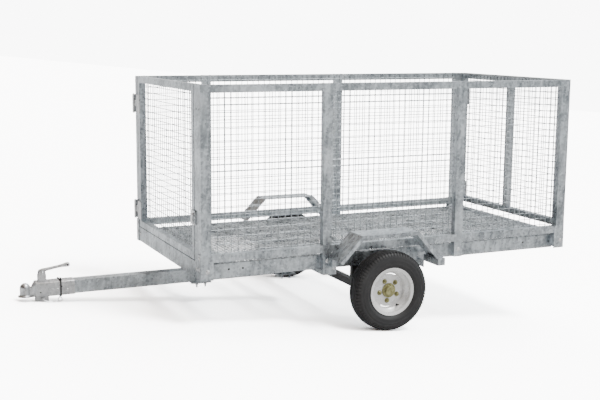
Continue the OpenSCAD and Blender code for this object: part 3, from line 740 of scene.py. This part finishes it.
def makeTie(at, look):  # flat tie round the sleeve, with its buckle and tail
    half, bottom, tall = at.half, at.low.z - look["clear"], at.top + look["clear"]
    tieX, wide, thick = at.start + look["back"], look["halfWide"], look["thick"]
    outline = ((-half - 2, bottom), (half + 2, bottom), (half + 2, tall), (-half - 2, tall))
    section = ((0, -wide), (0, wide), (thick, wide), (thick, -wide))
    bm = bmesh.new()
    addLoft(bm, [[Vector((tieX + dx, y + math.copysign(grow, y), z + (grow if z == tall else -grow)))
                  for y, z in outline] for grow, dx in section], loop=True)
    addBlock(bm, (tieX - 7, -half + 2, tall), (tieX + 7, -half + 16, tall + 9), 1.5)
    addBlock(bm, (tieX - 3.5, -half + 6, tall + 8), (tieX + 3.5, -half + 8.4, tall + 20), 0.6)
    makePiece("couplingTie", bm, "chassis", blackPaintAndHoleShade)


def makeChain(at, look):  # ring under the tie, and the catch's short chain
    ringAt = Vector((at.start + tieLook["back"] - 3, -at.half + 14, at.low.z - 25))
    bm = bmesh.new()
    addWire(bm, [ringAt + Vector((look["ring"] * math.cos(a), 0, look["ring"] * math.sin(a)))
                 for a in (2 * math.pi * k / 24 for k in range(24))], look["ringWire"], 8, loop=True)
    addLathe(bm, [(5, 0), (5, 6), (4, 9)], aim((ringAt.x, ringAt.y, at.low.z - 9.5), (0, 0, 1)), 16)
    catch = levelBox("coupling_catch")[0]
    pinX = at.start + 42.0
    addNut(bm, (pinX, catch.y, catch.z + 12), (0, -1, 0), 15.0, 7.0, 4.0, 2.0)
    ends = [Vector((pinX + 4, catch.y - 3, catch.z + 7)), Vector((pinX + 24, catch.y - 8, catch.z - 1.6)),
            Vector((pinX + 62, catch.y - 6, catch.z - 4.6)),
            Vector((ringAt.x - 5, ringAt.y - 1, ringAt.z - 9))]
    up = Vector((0, 0, 1))
    wide = look["link"]
    for k, (a, b) in enumerate(zip(ends, ends[1:])):
        way = (b - a).normalized()
        side = (way.cross(up) if k % 2 else up.cross(way)).normalized()
        reach = (b - a).length / 2 + 2.5
        middle = (a + b) / 2
        points = []
        for end in (1, -1):
            for j in range(9):
                angle = math.radians(-90 + 180 * j / 8)
                points.append(middle + way * end * (reach - wide + wide * math.cos(angle))
                              + side * end * wide * math.sin(angle))
        addWire(bm, points, look["linkWire"], 7, loop=True)
    makePiece("catchChain", bm, "chassis", boltSteel)


coupling = couplingPlaces(couplingLook)
makeShell(coupling, couplingLook)
makeCouplingBolts(coupling)
makeLever(leverLook)
makeTie(coupling, tieLook)
makeChain(coupling, chainLook)
print("stage: coupling made")

# bolts, welds, caps

boltLook = {
    "head": 11.0, "height": 4.3, "footUp": 49.0, "cornerFront": 80.0, "cornerRear": 140.0,
    "guardPost": (-400.0, -340.0)}  # the post that shares its bolt with the mudguard lies in this stretch


def makeBolts(look):
    bm = bmesh.new()
    feet = levelBoxes("corner_feet")
    lowX, highX = min(low.x for low, high in feet), max(high.x for low, high in feet)
    outY = max(high.y for low, high in feet)
    footLow = feet[0][0].z
    gussets = levelBoxes("guard_brackets")
    for s in (-1, 1):
        for x in (lowX + 39, highX - 26):
            addDomeBolt(bm, (x, s * outY, footLow + look["footUp"]), (0, s, 0), look["head"], look["height"])
        for x, end in ((lowX, -1), (highX, 1)):
            for at in ((x, s * (outY - 27), footLow + 59), (x, s * (outY - 27), footLow + 121),
                       (x - end * 4, s * (outY - 78), footLow + 52)):
                addDomeBolt(bm, at, (end, 0, 0), look["head"] - 1, look["height"])
        for low, high in gussets:
            if high.x < 0 and low.y * s > 0:
                face = s * outermost(low, high)
                addDomeBolt(bm, (low.x + 27, face, low.z + 82), (0, s, 0), look["head"], look["height"])
                addNut(bm, (high.x - 15, face, low.z + 38), (0, s, 0), 15.0, 7.0, 4.0, 3.0)
            elif low.y * s > 0 and high.x > 0:
                inner, outer = (low.y, high.y) if s > 0 else (high.y, low.y)
                for share in (0.42, 0.80):
                    at = (low.x + 25, inner + (outer - inner) * share, high.z + 3)
                    addNut(bm, at, (0, 0, 1), 13.0, 6.0, 3.5, 3.0)
        for name in ("posts_left", "posts_right"):
            for low, high in levelBoxes(name):
                inside = lowX + look["cornerFront"] < low.x < highX - look["cornerRear"]
                shared = look["guardPost"][0] < low.x < look["guardPost"][1]
                if inside and low.y * s > 0 and not shared:
                    at = ((low.x + high.x) / 2, s * outermost(low, high), footLow + look["footUp"])
                    addDomeBolt(bm, at, (0, s, 0), look["head"], look["height"])
    makePiece("frameBolts", bm, "chassis", boltSteel, sharp=30.0)


def joinWelds(bm, postBoxes, railBoxes):
    for low, high in railBoxes:
        out = -1 if low.y < 0 else 1
        face = out * outermost(low, high)
        for x in (low.x, high.x):
            if any(abs(x - p[0].x) < 2 or abs(x - p[1].x) < 2 for p in postBoxes):
                addWeld(bm, (x, face, low.z + 1), (x, face, high.z - 1), 1.3)
                for z in (low.z, high.z):
                    addWeld(bm, (x, low.y + 2, z), (x, high.y - 2, z), 2.2)


def capTube(bm, low, high, axis, end):  # flush plate in the open end of a tube
    a, b = low.copy(), high.copy()
    inset, thick = 2.2, 2.5
    for k in range(3):
        if k != axis:
            a[k] += inset
            b[k] -= inset
    if end > 0:
        a[axis], b[axis] = high[axis] - thick, high[axis] - 0.3
    else:
        a[axis], b[axis] = low[axis] + 0.3, low[axis] + thick
    addBlock(bm, a, b, 0.5)


def makeWelds():
    bm = bmesh.new()
    for side in sides:
        joinWelds(bm, levelBoxes("posts_" + side), levelBoxes("cage_rails_" + side))
    for low, high in (pair for side in sides for pair in levelBoxes("chassis_rail_" + side)):
        out = -1 if low.y < 0 else 1
        face = out * outermost(low, high)
        for side in sides:
            for a, b in levelBoxes("posts_" + side):
                if a.y * out > 0 and low.x < a.x < high.x:
                    for x in (a.x, b.x):
                        addWeld(bm, (x, face, low.z + 9), (x, face, high.z), 2.4)
    for low, high in levelBoxes("floor_bearers"):
        for y in (low.y, high.y):
            for x in (low.x, high.x):
                addWeld(bm, (x, y * 0.998, low.z + 2), (x, y * 0.998, high.z - 2), 2.2)
    for name in ("front_end_member", "rear_end_member"):
        low, high = levelBox(name)
        for y in (low.y, high.y):
            x = low.x if low.x < 0 else high.x
            addWeld(bm, (x, y, low.z + 2), (x, y, high.z - 1), 1.4)
    for low, high in levelBoxes("drawbar_risers"):
        if high.y < 50:
            for y in (low.y, high.y):
                addWeld(bm, (low.x, y, low.z + 1), (high.x, y, low.z + 1), 2.2)
    makePiece("frameWelds", bm, "chassis", frameSteel, sharp=60.0)
    for end in ("front", "rear"):
        boxes = levelBoxes(end + "_gate_frame")
        bm = bmesh.new()
        for low, high in boxes:
            if high.y - low.y > 200:  # a rail: cap both ends
                capTube(bm, low, high, 1, 1)
                capTube(bm, low, high, 1, -1)
                continue
            for z in (low.z, high.z):
                x = low.x if end == "front" else high.x
                addWeld(bm, (x, low.y + 1, z), (x, high.y - 1, z), 1.3)
        makePiece(end + "GateWelds", bm, end + "_gate", frameSteel, sharp=60.0)


def makeCaps():
    bm = bmesh.new()
    for name in ("posts_left", "posts_right", "latch_post"):
        for low, high in levelBoxes(name):
            capTube(bm, low, high, 2, 1)
    low, high = levelBox("drawbar")
    capTube(bm, low, high, 0, 1)
    makePiece("tubeCaps", bm, "chassis", frameSteel)


makeBolts(boltLook)
makeWelds()
makeCaps()
print("stage: bolts, welds and caps made")

# corner plates of the cage, painted shade in the drain holes, latch heads

trimLook = {
    "plate": 46.0, "plateThick": 1.2, "hole": 6.0, "holesBack": (175.0, 259.0, 1650.0, 2170.0),
    "holeUp": 47.0, "postHolesDown": 131.0}


def makeTrim(look):
    bm = bmesh.new()
    for side in sides:
        posts = levelBoxes("posts_" + side)
        for index in (0, len(posts) - 1):
            low, high = posts[index]
            s = -1 if low.y < 0 else 1
            face = s * outermost(low, high)
            inner = high.x if index == 0 else low.x
            reach = (1 if index == 0 else -1) * look["plate"]
            outer = low.x + 2 if index == 0 else high.x - 2
            # mitred corner plate, lying on post and rail
            points = [(outer, high.z - 1), (inner + reach, high.z - 1), (inner + reach * 0.9, high.z - 5),
                      (inner, high.z - look["plate"] * 0.9), (outer, high.z - look["plate"])]
            rings = [[Vector((x, face + s * d, z)) for x, z in points] for d in (0.0, look["plateThick"])]
            addLoft(bm, rings)
    makePiece("cornerPlates", bm, "chassis", frameSteel, sharp=20.0)

    # black discs of painted shade stand in for the drain holes in the rails and the latch post
    drainShadeDisc = [(look["hole"], 0.1), (look["hole"], 0.3)]
    bm = bmesh.new()
    low, high = levelBox("chassis_rail_left")
    front = low.x - 55  # the rail starts one post behind the front
    for s in (-1, 1):
        for back in look["holesBack"]:
            at = (front + back, s * outermost(low, high), low.z + look["holeUp"])
            addLathe(bm, drainShadeDisc, aim(at, (0, s, 0)), 24)
    postLow, postHigh = levelBox("latch_post")
    for y in (postLow.y + 19, postLow.y - 28):
        addLathe(bm, drainShadeDisc, aim((postLow.x, y, postHigh.z - look["postHolesDown"]), (-1, 0, 0)), 24)
    makePiece("drainHoleShade", bm, "chassis", blackPaintAndHoleShade)

    bm = bmesh.new()
    for low, high in levelBoxes("latch_studs"):
        end = -1 if high.x < 0 else 1
        tip = low.x if end < 0 else high.x
        y = (low.y + high.y) / 2
        button = aim((tip - end * 6.5, y, high.z - 5), (end, 0, 0))
        addLathe(bm, [(8, 0), (8, 2), (6.4, 4.5), (3, 5.4)], button, 24)
        washer = aim((tip - end * 2.5, y, low.z + 6), (end, 0, 0))
        addLathe(bm, [(9, 0), (9, 1.8), (7.5, 2)], washer, 20)
    makePiece("latchHeads", bm, "chassis", boltSteel)


makeTrim(trimLook)
print("stage: trim made")
